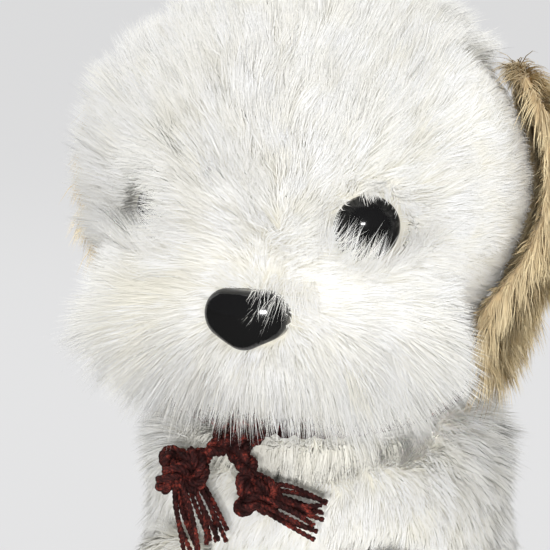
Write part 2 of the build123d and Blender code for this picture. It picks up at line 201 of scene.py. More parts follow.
class Tree:
    """A few helpers to add and link shader nodes."""

    def __init__(self, tree):
        self.nodes = tree.nodes
        self.links = tree.links

    def give(self, socket, value):
        """Links a socket or sets its value; a colour is opaque."""
        if isinstance(value, bpy.types.NodeSocket):
            self.links.new(value, socket)
        elif socket.type == "RGBA":
            socket.default_value = (*value[:3], 1.0)
        else:
            socket.default_value = value

    def fill(self, node, values):
        """Gives some of a node's sockets or settings, by name."""
        for key, value in values.items():
            if key in node.inputs:
                self.give(node.inputs[key], value)
            else:
                setattr(node, key, value)
        return node

    def add(self, kind, **values):
        return self.fill(self.nodes.new(kind), values)

    def numbered(self, node, values):
        """Gives a node's sockets by their numbers."""
        for place, value in values.items():
            self.give(node.inputs[place], value)
        return node.outputs

    def mix(self, factor, first, second, blend="MIX"):
        node = self.add("ShaderNodeMix", data_type="RGBA", blend_type=blend)
        return self.numbered(node, {0: factor, 6: first, 7: second})[2]

    def either(self, factor, first, second):
        """One shader where the factor is 0 and the other where it is 1."""
        return self.numbered(self.add("ShaderNodeMixShader"), {0: factor, 1: first, 2: second})[0]

    def math(self, operation, *values):
        node = self.add("ShaderNodeMath", operation=operation)
        return self.numbered(node, dict(enumerate(values)))[0]

    def vector(self, operation, *values, **named):
        node = self.add("ShaderNodeVectorMath", operation=operation, **named)
        return self.numbered(node, dict(enumerate(values)))[0]

    def spread(self, factor, low, high, top=1.0):
        """A factor from 0 to its top laid out from low to high."""
        limits = {"Value": factor, "From Max": top, "To Min": low, "To Max": high}
        return self.fill(self.add("ShaderNodeMapRange"), limits).outputs["Result"]

    def own_place(self):
        return self.add("ShaderNodeTexCoord").outputs["Object"]

    def noise(self, scale, detail, **values):
        return self.add("ShaderNodeTexNoise", Vector=self.own_place(), Scale=scale, Detail=detail,
                        **values).outputs["Fac"]

    def bump(self, height, strength, distance):
        return self.add("ShaderNodeBump", Height=height, Strength=strength, Distance=distance).outputs[0]

    def ramp(self, factor, stops):
        node = self.add("ShaderNodeValToRGB", Fac=factor)
        ramp = node.color_ramp
        while len(ramp.elements) < len(stops):
            ramp.elements.new(0.5)
        for element, (place, colour) in zip(ramp.elements, stops):
            element.position = place
            element.color = (*colour, 1.0)
        return node.outputs[0]


def dimmed(colour, share):
    return tuple(share * channel for channel in colour)


def shared_group(name, given, made, build):
    """A shader group with named sockets, built when it is first asked for."""
    if name not in bpy.data.node_groups:
        group = bpy.data.node_groups.new(name, "ShaderNodeTree")
        for in_out, labels in (("INPUT", given), ("OUTPUT", made)):
            for label, kind in labels.items():
                group.interface.new_socket(name=label, in_out=in_out, socket_type="NodeSocket" + kind)
        tree = Tree(group)
        build(tree, tree.add("NodeGroupInput").outputs, tree.add("NodeGroupOutput"))
    return bpy.data.node_groups[name]


def build_fibre(tree, given, made):
    """Colour of a hair from its own map: u is its tint and v runs from root to tip."""
    chart = tree.add("ShaderNodeUVMap", uv_map="OFBake")
    tint, height = tree.add("ShaderNodeSeparateXYZ", Vector=chart.outputs[0]).outputs[:2]
    along = tree.mix(tree.spread(height, 0.0, 1.0, top=0.65), given["Root"], given["Tip"])
    warm = tree.mix(tint, given["Root"], along)
    # Hairs of low tint are darker as well as warmer: random tone from lock to lock, and painted shade where
    # a coat lowers the tint.
    least = tree.math("SUBTRACT", 1.0, given["Shade"])
    light = tree.math("MULTIPLY_ADD", tint, given["Shade"], least)
    tree.fill(made, {"Color": tree.vector("SCALE", warm, Scale=light),
                     "Roughness": tree.spread(height, 0.62, 0.40)})


def build_weave(tree, given, made):
    """Fine cloth: crossed threads and small changes of tone on the piece's own coordinates."""
    waves = [tree.add("ShaderNodeTexWave", bands_direction=direction, Distortion=1.5, Detail=1.0,
                      Vector=tree.own_place(), Scale=given["Threads"]).outputs["Fac"]
             for direction in ("X", "Z")]
    threads = tree.math("MULTIPLY", *waves)
    worn = tree.mix(tree.noise(180.0, 4.0), (0.90, 0.89, 0.87), (1.0, 1.0, 1.0))
    base = tree.mix(1.0, given["Color"], worn, "MULTIPLY")
    lines = tree.mix(threads, (0.90, 0.90, 0.90), (1.0, 1.0, 1.0))
    tree.fill(made, {"Color": tree.mix(1.0, base, lines, "MULTIPLY"), "Height": threads})


def new_material(name):
    material = bpy.data.materials.new(name)
    material.use_nodes = True
    return material, Tree(material.node_tree), material.node_tree.nodes["Principled BSDF"]


def fur_material(name, root, tip, shade):
    """Glossy synthetic fibre."""
    material, tree, shader = new_material(name)
    group = shared_group("Fibre colour", {"Root": "Color", "Tip": "Color", "Shade": "Float"},
                         {"Color": "Color", "Roughness": "Float"}, build_fibre)
    fibre = tree.add("ShaderNodeGroup", node_tree=group, Root=root, Tip=tip, Shade=shade)
    # A hair seen from underneath faces the viewer, but still leans the way its skin faces.
    surface = tree.add("ShaderNodeNewGeometry").outputs
    parts = [tree.vector("SCALE", surface[output], Scale=tree.spread(surface["Backfacing"], over, under))
             for output, over, under in (("Normal", 1.0, -0.6), ("True Normal", 0.0, 1.0))]
    tree.fill(shader, {"Base Color": fibre.outputs["Color"], "Roughness": fibre.outputs["Roughness"],
                       "Normal": tree.vector("NORMALIZE", tree.vector("ADD", *parts)),
                       "Specular IOR Level": 0.25})
    return material


def cloth_material(name, colour, threads, bump=0.25, sheen=0.3):
    """Woven or knitted cloth."""
    material, tree, shader = new_material(name)
    group = shared_group("Woven cloth", {"Color": "Color", "Threads": "Float"},
                         {"Color": "Color", "Height": "Float"}, build_weave)
    weave = tree.add("ShaderNodeGroup", node_tree=group, Color=colour, Threads=threads)
    tree.fill(shader, {"Base Color": weave.outputs["Color"], "Roughness": 0.9, "Sheen Weight": sheen,
                       "Normal": tree.bump(weave.outputs["Height"], bump, 0.0003)})
    return material


def yarn_material(name, dark, light):
    """Hairy spun yarn."""
    material, tree, shader = new_material(name)
    fibres = tree.noise(1500.0, 4.0, Roughness=0.7)
    patches = tree.math("MULTIPLY", fibres, tree.noise(330.0, 3.0))
    # The lowest stop is painted shade in the depths of the yarn and the top stop painted glints, both laid
    # by noise.
    stops = [(0.15, dimmed(dark, 0.3)), (0.27, dark), (0.44, light)]
    tree.fill(shader, {"Base Color": tree.ramp(patches, stops),
                       "Normal": tree.bump(fibres, 0.6, 0.0003), "Roughness": 0.75,
                       "Specular IOR Level": 0.2})
    return material


def material(key):
    """One of the dog's finishes, made when it is first asked for."""
    if key in bpy.data.materials:
        return bpy.data.materials[key]
    colours = bpy.context.scene.plush_colours
    makers = {
        "white_fur": lambda: fur_material(key, colours.white_root, colours.white_tip, 0.06),
        "tan_fur": lambda: fur_material(key, colours.tan_root, colours.tan_tip, 0.35),
        "white_backing": lambda: cloth_material(key, colours.white_root, 1600.0),
        "tan_backing": lambda: cloth_material(key, colours.tan_root, 1600.0),
        "short_pile": lambda: cloth_material(key, colours.white_tip, 2600.0, bump=0.6, sheen=0.6),
        "ribbon": lambda: cloth_material(key, colours.label, 3000.0, bump=0.12, sheen=0.1),
        "yarn": lambda: yarn_material(key, colours.yarn, colours.yarn_glint),
    }
    return makers[key]()


# ---- Meshes ------------------------------------------------------------------------------

def add_object(name, mesh, finish):
    piece = bpy.data.objects.new(name, mesh)
    bpy.context.scene.collection.objects.link(piece)
    mesh.materials.clear()
    mesh.materials.append(material(finish))
    return piece


def finished(piece, body, replaced=()):
    """Ties a piece to its body and hides the nodes that it stands for."""
    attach(piece, body)
    if replaced:
        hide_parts(*replaced)


def merged_copy(name, sources):
    """One mesh of the merged copies of some CAD nodes."""
    shape = bmesh.new()
    for source in sources:
        shape.from_mesh(nodes[source].data)
    bmesh.ops.remove_doubles(shape, verts=shape.verts, dist=1e-6)
    mesh = bpy.data.meshes.new(name)
    shape.to_mesh(mesh)
    shape.free()
    return mesh


def evaluated_mesh(piece):
    """The piece's mesh with its modifiers worked out."""
    graph = bpy.context.evaluated_depsgraph_get()
    return bpy.data.meshes.new_from_object(piece.evaluated_get(graph), depsgraph=graph)


def apply_modifiers(piece):
    mesh = evaluated_mesh(piece)
    piece.modifiers.clear()
    piece.data = mesh


def coordinates(mesh, kind="co"):
    """The places of a mesh's vertices, or with another kind their normals."""
    values = np.empty(len(mesh.vertices) * 3, np.float32)
    mesh.vertices.foreach_get(kind, values)
    return values.reshape(-1, 3)


def set_coordinates(mesh, places):
    mesh.vertices.foreach_set("co", np.ascontiguousarray(places, np.float32).ravel())
    mesh.update()


def smooth_shape(piece, rounds):
    shape = bmesh.new()
    shape.from_mesh(piece.data)
    for _ in range(rounds):
        bmesh.ops.smooth_vert(shape, verts=shape.verts, factor=0.5, use_axis_x=True, use_axis_y=True,
                              use_axis_z=True)
    bmesh.ops.recalc_face_normals(shape, faces=shape.faces)
    shape.to_mesh(piece.data)
    shape.free()


def make_skin(name, body, sources, replaced, finish, voxel, smoothing=4, swell=0.0):
    """A closed stuffed skin, from the merged shape of the CAD nodes inside it."""
    piece = add_object(name, merged_copy(name, sources), finish)
    remesh = piece.modifiers.new("Voxels", "REMESH")
    remesh.mode = "VOXEL"
    remesh.voxel_size = voxel
    apply_modifiers(piece)
    smooth_shape(piece, smoothing)
    if swell:
        set_coordinates(piece.data, coordinates(piece.data) + swell * coordinates(piece.data, "normal"))
    finished(piece, body, replaced)
    return piece


def puff(pieces):
    """Blows the skins up a little by cloth simulation, all in one run."""
    cloth = bpy.context.scene.plush_cloth
    starts = {}
    for piece in pieces:
        starts[piece.name] = coordinates(piece.data).copy()
        settings = piece.modifiers.new("Puff", "CLOTH").settings
        settings.use_pressure = True
        settings.uniform_pressure_force = cloth.pressure
        settings.effector_weights.gravity = 0.0
        settings.quality = 4
    for step in range(1, cloth.frames + 1):
        bpy.context.scene.frame_set(step)
    for piece in pieces:
        apply_modifiers(piece)
        start = starts[piece.name]
        moved = coordinates(piece.data) - start
        reach = np.linalg.norm(moved, axis=1, keepdims=True)
        moved *= np.minimum(1.0, cloth.puff_limit / np.maximum(reach, 1e-9))
        places = start + moved
        places[:, 2] = np.maximum(places[:, 2], start[:, 2].min())
        set_coordinates(piece.data, places)
    bpy.context.scene.frame_set(1)


def round_off(piece, levels=1):
    """Subdivides a finished skin and shades it smooth."""
    rounder = piece.modifiers.new("Round", "SUBSURF")
    rounder.levels = levels
    rounder.render_levels = levels
    apply_modifiers(piece)
    piece.data.shade_smooth()


# ---- Fur ---------------------------------------------------------------------------------

ROOT_SINK = 0.4 * MM
LOWEST_HAIR = 0.4 * MM
HALF_BEND = 0.25             # radians that a hair leans back at its root and forward at its tip
TINT_LIMITS = (0.02, 0.98)
TIP_WIDTH = 0.55             # width of the last whole step of a hair, against its root


def unit(vectors):
    return vectors / np.maximum(np.linalg.norm(vectors, axis=-1, keepdims=True), 1e-9)


def rise(values, start, reach):
    """0 up to a start and 1 from a reach beyond it. A negative reach rises the other way."""
    return np.clip((values - start) / reach, 0, 1)


def tangent(vectors, normals):
    """The part of each vector that lies along the skin."""
    return unit(vectors - np.sum(vectors * normals, axis=1, keepdims=True) * normals)


def wander(points, size, seed):
    """Smooth vector noise of about unit size, for slow turns of the fur's lie."""
    rng = np.random.default_rng(seed)
    total = np.zeros_like(points)
    for octave in range(3):
        waves = rng.normal(size=(3, 3)) * (2 ** octave) / size
        phases = rng.uniform(0, 2 * pi, 3)
        total += np.sin(points @ waves + phases) / (1.5 ** octave)
    return total / 1.5


def skin_points(piece, density, rng):
    """Evenly scattered roots on a skin, with the skin's normal at each."""
    mesh = piece.data
    mesh.calc_loop_triangles()
    corners = np.empty(len(mesh.loop_triangles) * 3, np.int32)
    mesh.loop_triangles.foreach_get("vertices", corners)
    corners = corners.reshape(-1, 3)
    places = coordinates(mesh)
    normals = coordinates(mesh, "normal")
    first, second, third = (places[corners[:, i]] for i in range(3))
    areas = np.linalg.norm(np.cross(second - first, third - first), axis=1) / 2
    count = int(areas.sum() * density / MM ** 2)
    chosen = rng.choice(len(areas), count, p=areas / areas.sum())
    weights = rng.dirichlet((1.0, 1.0, 1.0), count)
    roots = np.einsum("nk,nkc->nc", weights, places[corners[chosen]])
    facing = unit(np.einsum("nk,nkc->nc", weights, normals[corners[chosen]]))
    return roots, facing


def lock_numbers(roots, size, seed):
    """Number of the lock that each hair belongs to."""
    warped = roots + 0.35 * size * wander(roots, 3.0 * size, seed)
    cells = np.floor(warped / size).astype(np.int64)
    keys = (cells * np.array((73856093, 19349663, 83492791))).sum(axis=1)
    return np.unique(keys, return_inverse=True)[1]


def lock_means(locks, values):
    """Mean of the values over each lock, given back to each hair."""
    totals = np.stack([np.bincount(locks, values[:, i]) for i in range(values.shape[1])], axis=1)
    counts = np.bincount(locks)[:, None]
    return (totals / counts)[locks]


def hair_mesh(name, joints_of, widths, across, normals, tints, soften):
    """Flat tapered hairs. joints_of lists each hair's points from its root to its tip.

    The hairs are shaded mostly by the skin's normals, so that a coat looks soft and even.
    """
    count, steps = len(widths), len(joints_of)
    blocks = []
    taper = np.linspace(1.0, TIP_WIDTH, steps - 1)
    for place, share in zip(joints_of[:-1], taper):
        half = across * (widths * share / 2)[:, None]
        blocks += [place - half, place + half]
    blocks.append(joints_of[-1])
    vertices = np.stack(blocks, axis=1).reshape(-1, 3)
    per_hair = 2 * (steps - 1) + 1
    faces = []
    for step in range(steps - 2):
        low = 2 * step
        faces += [(low, low + 1, low + 3), (low, low + 3, low + 2)]
    faces.append((per_hair - 3, per_hair - 2, per_hair - 1))
    pattern = np.array(faces)
    indices = (np.arange(count)[:, None, None] * per_hair + pattern[None]).reshape(-1)
    mesh = bpy.data.meshes.new(name)
    mesh.vertices.add(len(vertices))
    mesh.vertices.foreach_set("co", vertices.astype(np.float32).ravel())
    total = len(indices)
    mesh.loops.add(total)
    mesh.loops.foreach_set("vertex_index", indices.astype(np.int32))
    mesh.polygons.add(total // 3)
    mesh.polygons.foreach_set("loop_start", np.arange(0, total, 3, dtype=np.int32))
    mesh.polygons.foreach_set("use_smooth", np.ones(total // 3, bool))
    heights = np.array([step / (steps - 1) for step in range(steps - 1) for _ in range(2)] + [1.0])
    chart = np.empty((count, len(pattern), 3, 2), np.float32)
    chart[..., 0] = tints[:, None, None]
    chart[..., 1] = heights[pattern][None]
    layer = mesh.uv_layers.new(name="OFBake")
    layer.uv.foreach_set("vector", chart.ravel())
    mesh.update()
    flat = unit(np.cross(across, joints_of[1] - joints_of[0]))
    shading = unit(soften * normals + (1 - soften) * flat)
    mesh.normals_split_custom_set_from_vertices(np.repeat(shading, per_hair, axis=0))
    return mesh


@dataclass
class Coat:
    """Fur on one skin. Its length and lift are numbers or functions of the roots and the normals."""
    skin: object
    density: float
    length: object
    flow: object
    lift: object = 38.0          # degrees off the skin
    spread: float = 14.0         # degrees to the sides
    droop: float = 0.25
    width: float = None
    clumping: float = 0.35
    clump: float = None
    seed: int = 0
    steps: int = 2
    keep: object = None          # chance that a root is kept
    tint: object = None
    soften: float = 0.92
    facing: object = None        # normals for the shading, in place of the skin's

    def grow(self):
        """Points of each hair from its root to its tip, with its width, face and tint."""
        fur = bpy.context.scene.plush_fur
        rng = np.random.default_rng(fur.seed * 1000 + self.seed)
        roots, normals = skin_points(self.skin, self.density, rng)
        chance = 1.0 if self.keep is None else self.keep(roots, normals)
        kept = rng.random(len(roots)) < chance
        roots, normals = roots[kept], normals[kept]
        count = len(roots)
        locks = lock_numbers(roots, self.clump or fur.clump_size, self.seed)
        number = locks.max() + 1

        lie = tangent(self.flow(roots, normals), normals)
        twist = (rng.normal(size=number) * radians(self.spread))[locks]
        twist += rng.normal(size=count) * radians(self.spread * 0.7)
        side = np.cross(normals, lie)
        lie = lie * np.cos(twist)[:, None] + side * np.sin(twist)[:, None]
        steep = at_roots(self.lift, roots, normals)
        raised = radians(1.0) * steep * (1 + 0.16 * rng.normal(size=number)[locks])
        raised = raised + radians(8.0) * rng.normal(size=count)
        raised = np.clip(raised, radians(4.0), radians(84.0))[:, None]
        lengths = at_roots(self.length, roots, normals) * (1 + 0.10 * rng.normal(size=number)[locks])
        lengths = (lengths * rng.uniform(0.72, 1.12, count))[:, None]

        low, high = raised - HALF_BEND, raised + HALF_BEND
        start = unit(lie * np.cos(high) + normals * np.sin(high))
        later = unit(lie * np.cos(low) + normals * np.sin(low) + self.droop * DOWN)
        origin = roots - normals * ROOT_SINK
        tip = origin + lengths * unit(start + later) * 0.97
        tip = tip + self.clumping * rng.uniform(0.3, 1.0, (count, 1)) * (lock_means(locks, tip) - tip)
        middle = origin + lengths * start * 0.5
        points = []
        for along in np.arange(self.steps + 1) / self.steps:
            points.append((1 - along) ** 2 * origin + 2 * along * (1 - along) * middle + along ** 2 * tip)

        way = unit(points[1] - origin)
        across = unit(np.cross(way, normals - 0.15 * DOWN))
        roll = rng.normal(size=(count, 1)) * 0.5
        across = across * np.cos(roll) + np.cross(way, across) * np.sin(roll)
        # A hair of few steps narrows sooner, so it starts wider.
        widths = (self.width or fur.hair_width) * rng.uniform(0.6, 1.3, count) / np.sqrt(1 - 1 / self.steps)
        tints = 0.72 + 0.16 * rng.normal(size=number)[locks] + 0.12 * rng.normal(size=count)
        tints = np.clip(tints, *TINT_LIMITS)
        if self.tint is not None:
            tints = np.clip(self.tint(roots, normals, tints), *TINT_LIMITS)
        if self.facing is not None:
            normals = self.facing(normals)
        return points, widths, across, normals, tints


def at_roots(size, roots, normals):
    """A size at each root, whether it is given as a number or as a function."""
    return size(roots, normals) if callable(size) else np.full(len(roots), size)


def hairs_piece(name, coats, body, finish="white_fur", clear=None):
    """One object of the hairs of some coats on one body."""
    grown = [coat.grow() for coat in coats]
    steps = len(grown[0][0])
    points = [np.concatenate([part[0][step] for part in grown]) for step in range(steps)]
    widths, across, normals, tints = (np.concatenate([part[i] for part in grown]) for i in range(1, 5))
    points = [np.column_stack((place[:, :2], np.maximum(place[:, 2], LOWEST_HAIR))) for place in points]
    kept = np.ones(len(widths), bool)
    if clear is not None:
        for _ in range(2):
            crossing = ~clear(points)
            for place in points[1:]:
                place[crossing] = points[0][crossing] + 0.6 * (place[crossing] - points[0][crossing])
        kept = clear(points)
    points = [place[kept] for place in points]
    mesh = hair_mesh(name, points, widths[kept], across[kept], normals[kept], tints[kept], coats[0].soften)
    piece = add_object(name, mesh, finish)
    finished(piece, body)


# ---- Head --------------------------------------------------------------------------------

EYE_DEPTH = -20 * MM         # skin lower than this under an eye's dome isn't near that eye


def from_nose(roots):
    return np.linalg.norm(roots - np.array(NOSE), axis=1)


def nose_ring(places):
    """How far out each place is from the middle of the nose, where 1 is its edge."""
    return np.hypot((places[:, 0] - NOSE.x) / NOSE_HALF.x, (places[:, 2] - NOSE.z) / NOSE_HALF.z)


def eye_axes(side):
    """Directions across, up and out from an eye."""
    facing = EYES[side][1]
    upward = (Vector((0, 0, 1)) - facing * facing.z).normalized()
    return upward.cross(facing), upward, facing


def eye_place(side, places):
    """Places across, up and out from the top of an eye's dome."""
    away = places - np.array(EYES[side][0])
    return [away @ np.array(axis) for axis in eye_axes(side)]


def away_from_nose(roots, normals):
    """Fur of the head radiates from the nose, and hangs a little at the back and below the nose."""
    behind = rise(roots[:, 1:2], HEAD.y - 0.3 * HEAD_RADIUS, HEAD_RADIUS)
    low = rise(roots[:, 2:3], NOSE.z, -15 * MM)
    return unit(roots - np.array(NOSE)) + 0.9 * (behind + low) * DOWN + 0.3 * wander(roots, 18 * MM, 3)


def head_hair_length(roots, normals):
    """Longest round the mouth and on the chin, shortest by the eyes, the nose and the near ear."""
    fur = bpy.context.scene.plush_fur
    near = from_nose(roots)
    muzzle = rise(near, 42 * MM, -30 * MM) * (roots[:, 2] < NOSE.z + 4 * MM)
    lengths = fur.face_length + (fur.muzzle_length - fur.face_length) * muzzle
    close = np.maximum(rise(near, 8 * MM, 14 * MM), 0.45)
    for spot, _, _ in EYES.values():
        gap = np.linalg.norm(roots - np.array(spot), axis=1)
        close = np.minimum(close, np.maximum(rise(gap, 6 * MM, 12 * MM), 0.62))
    cheeks = 1 - 0.52 * by_ear(roots, "left") + 0.12 * by_ear(roots, "right")
    return lengths * close * cheeks * (1 + 0.5 * underneath(roots, normals))


def underneath(roots, normals):
    """1 on the lower edge of the cheeks and the chin, whose fur hangs over the collar, and 0 above."""
    return rise(roots[:, 2], HEAD.z - 18 * MM, -12 * MM) * rise(normals[:, 2], 0.15, -0.5)


def by_ear(roots, side):
    """1 on the cheek in front of an ear, and 0 elsewhere."""
    low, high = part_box(f"ear_{side}_back")
    forward = rise(roots[:, 1], low.y - 22 * MM, 8 * MM)
    beside = rise(outward_of(side) * roots[:, 0], 30 * MM, 8 * MM)
    return forward * beside * (roots[:, 2] < high.z) * (roots[:, 2] > low.z - 6 * MM)


def closeness(roots):
    """How near each root is to a fitting: 1 at the rim of an eye or the nose, 0 well away."""
    near = rise(nose_ring(roots), 1.5, -0.5) * (roots[:, 1] < NOSE.y + 20 * MM)
    for side in SIDES:
        x, y, depth = eye_place(side, roots)
        rim = rise(np.hypot(x, y), EYES[side][2] + 5 * MM, -5 * MM) * (depth > EYE_DEPTH)
        near = np.maximum(near, rim)
    return near


def head_lift(roots, normals):
    """Fur stands up round the eyes and the nose, hangs out under the chin and lies over elsewhere."""
    raised = np.maximum(28.0 * closeness(roots), 14.0 * underneath(roots, normals))
    behind = rise(roots[:, 1], HEAD.y - 15 * MM, 30 * MM)
    bridge = rise(from_nose(roots), 36 * MM, -22 * MM) * (roots[:, 2] > NOSE.z)
    cheeks = 4.0 * by_ear(roots, "right") - 30.0 * by_ear(roots, "left")
    return 46.0 + raised + cheeks - 20.0 * behind - 10.0 * bridge


def between(points):
    """The points of each hair and those halfway between them."""
    return list(points) + [(near + far) / 2 for near, far in zip(points[:-1], points[1:])]


def head_clear(points):
    """Keeps the eyes and the nose free, but for the hairs that grow over their lower edge."""
    kept = np.ones(len(points[0]), bool)
    for side in SIDES:
        radius = EYES[side][2]
        x, y, depth = eye_place(side, points[0])
        kept &= (np.hypot(x, y) > radius) | (depth < EYE_DEPTH)
        for place in between(points):
            x, y, depth = eye_place(side, place)
            kept &= (np.hypot(x, y) > 0.96 * radius) | (depth < 0.6 * EYE_DEPTH) | (y < -0.72 * radius)
    for place in between(points):
        kept &= (nose_ring(place) > 0.93) | (place[:, 1] > NOSE.y + 12 * MM)
    return kept


def painted_crease_shade(roots, normals, tints):
    """Painted crease shade: hairs in patches here and there, most of them near the nose, get a lower tint,
    warmer and a little darker, in place of the shade and the cream backing seen in creases of the fur; clean
    white between them.
    """
    crease_shade = rise(wander(roots, 16 * MM, 27)[:, 0], 0.55, 0.6)
    crease_shade *= np.maximum(rise(from_nose(roots), 50 * MM, -20 * MM), 0.15)
    return tints * (1 - 0.95 * crease_shade)


def round_eye(side, farthest, chosen):
    """A chooser of roots round an eye, out to some radii, by their places across and above it in radii."""
    def keep(roots, normals):
        x, y, depth = eye_place(side, roots)
        x, y = outward_of(side) * x / EYES[side][2], y / EYES[side][2]
        ring = np.hypot(x, y)
        return (ring > 1.0) & (ring < farthest) & (depth > EYE_DEPTH) & chosen(x, y)
    return keep


def eye_lashes(skin, side, seed):
    """Sparse hairs from under an eye that lie over the lower part of its dome."""
    fur = bpy.context.scene.plush_fur
    sideways, upward, _ = (np.array(axis) for axis in eye_axes(side))

    def upwards(roots, normals):
        return upward + 0.45 * outward_of(side) * sideways + 0.2 * wander(roots, 4 * MM, seed)

    return Coat(skin, 0.9 * fur.face_density, 1.15 * fur.face_length, upwards, lift=50.0, spread=16.0,
                droop=-0.3, clump=1.6 * MM, seed=seed, width=0.7 * fur.hair_width,
                keep=round_eye(side, 1.5, lambda x, y: y < -0.35))


def eye_rim(skin, side, seed):
    """Short fur that stands close round the outer side of an eye."""
    fur = bpy.context.scene.plush_fur

    def inward(roots, normals):
        return (np.array(EYES[side][0]) - roots) + 4 * MM * wander(roots, 3 * MM, seed)

    return Coat(skin, 1.4 * fur.face_density, 0.5 * fur.face_length, inward, lift=68.0, spread=20.0,
                droop=0.0, clumping=0.1, seed=seed, keep=round_eye(side, 1.35, lambda x, y: x > -0.3))


def eye_ruffle(skin, side, seed):
    """Ruffled fur from the bridge that lies across most of one eye."""
    fur = bpy.context.scene.plush_fur

    def across(roots, normals):
        return np.array((outward_of(side), -0.1, 0.25)) + 0.3 * wander(roots, 4 * MM, seed)

    return Coat(skin, fur.face_density, fur.face_length, across, lift=52.0, spread=16.0, droop=0.0,
                clumping=0.2, seed=seed, keep=round_eye(side, 1.9, lambda x, y: x < 0.25 * y))


def nose_tuft(skin, seed):
    """Sparse hairs from the bridge that fall over one side of the nose."""
    fur = bpy.context.scene.plush_fur

    def bridge(roots, normals):
        across = (roots[:, 0] - NOSE.x) / NOSE_HALF.x
        above = (roots[:, 2] - NOSE.z) / NOSE_HALF.z
        beside = (across > 0.15) & (across < 1.5) & (above > 0.9) & (above < 1.8)
        return 0.25 * (beside & (roots[:, 1] < HEAD.y))

    def falling(roots, normals):
        return np.array((0.45, -0.3, -1.0)) + 0.35 * wander(roots, 4 * MM, seed)

    return Coat(skin, fur.face_density, 0.95 * fur.face_length, falling, lift=58.0, spread=22.0, droop=0.3,
                clumping=0.1, seed=seed, keep=bridge, width=0.6 * fur.hair_width)


class PLUSH_OT_skins(bpy.types.Operator):
    """Makes the stuffed skins of the torso, neck, head, legs and tail, and puffs them up"""
    bl_idname = "plush.skins"
    bl_label = "Stuffed skins"

    def execute(self, context):
        voxel = context.scene.plush_cloth.voxel
        extra = {"torso": ["pellet_bag"], "head": ["muzzle_panel", "chin_panel"]}
        skins = {}
        for body in ["torso", "neck", "head"] + LIMBS + ["tail"]:
            inside = [body + "_stuffing"]
            replaced = inside + [body + "_cover"]
            if body in extra:
                replaced = [node for node in nodes if node.startswith(body + "_")] + extra[body]
            if body == "torso":
                inside.append("pellet_bag")
            skins[body] = make_skin(body + "_skin", body, inside, replaced, "white_backing",
                                    voxel, smoothing=5 if body == "head" else 4,
                                    swell=LIMB_SWELL if body in LIMBS else 0.0)
        puff(skins.values())
        # The head narrows a little towards its sides, so that the near ear shows.
        places = coordinates(skins["head"].data)
        beyond = np.maximum(np.abs(places[:, 0]) - 26 * MM, 0)
        places[:, 0] -= HEAD_SQUEEZE * np.sign(places[:, 0]) * beyond
        set_coordinates(skins["head"].data, places)
        for skin in skins.values():
            round_off(skin)
        return {"FINISHED"}


class PLUSH_OT_head_fur(bpy.types.Operator):
    """Grows the fur of the head, away from the nose"""
    bl_idname = "plush.head_fur"
    bl_label = "Head fur"

    def execute(self, context):
        fur = context.scene.plush_fur
        skin = bpy.data.objects["head_skin"]
        nape = HEAD.y + 12 * MM
        brow = HEAD.z + 4 * MM

        def outside(roots):
            away = roots - np.array(NECK)
            along = away @ np.array(NECK_AXIS)
            return np.linalg.norm(away - along[:, None] * np.array(NECK_AXIS), axis=1) + along > 53 * MM

        def part(side, upper):
            def keep(roots, normals):
                beside = (roots[:, 0] >= 0) == (side == "left")
                height = (roots[:, 2] >= brow) if upper else (roots[:, 2] < brow) & outside(roots)
                return beside & (roots[:, 1] < nape) & height
            return keep

        def behind(roots, normals):
            return 0.45 * ((roots[:, 1] >= nape) & outside(roots))

        parts = {"crown_fur_left": part("left", True), "crown_fur_right": part("right", True),
                 "cheek_fur_left": part("left", False), "cheek_fur_right": part("right", False),
                 "nape_fur": behind}
        for number, (name, keep) in enumerate(parts.items()):
            # The head's fur gets painted crease shade through its tint.
            coat = Coat(skin, fur.face_density, head_hair_length, away_from_nose, keep=keep,
                        seed=10 + number, lift=head_lift, droop=0.15, tint=painted_crease_shade)
            hairs_piece(name, [coat], "head", clear=head_clear)
        fringe = Coat(skin, 0.7 * fur.face_density, head_hair_length, away_from_nose, seed=27, droop=0.15,
                      lift=head_lift, keep=lambda r, n: underneath(r, n) * (r[:, 1] < HEAD.y) * outside(r))
        hairs_piece("chin_fringe", [fringe], "head", clear=head_clear)
        wisps = [eye_lashes(skin, side, 15 + number) for number, side in enumerate(SIDES)]
        wisps += [eye_rim(skin, side, 19 + number) for number, side in enumerate(SIDES)]
        wisps += [eye_ruffle(skin, "right", 18), nose_tuft(skin, 17)]
        hairs_piece("face_wisps", wisps, "head")
        return {"FINISHED"}


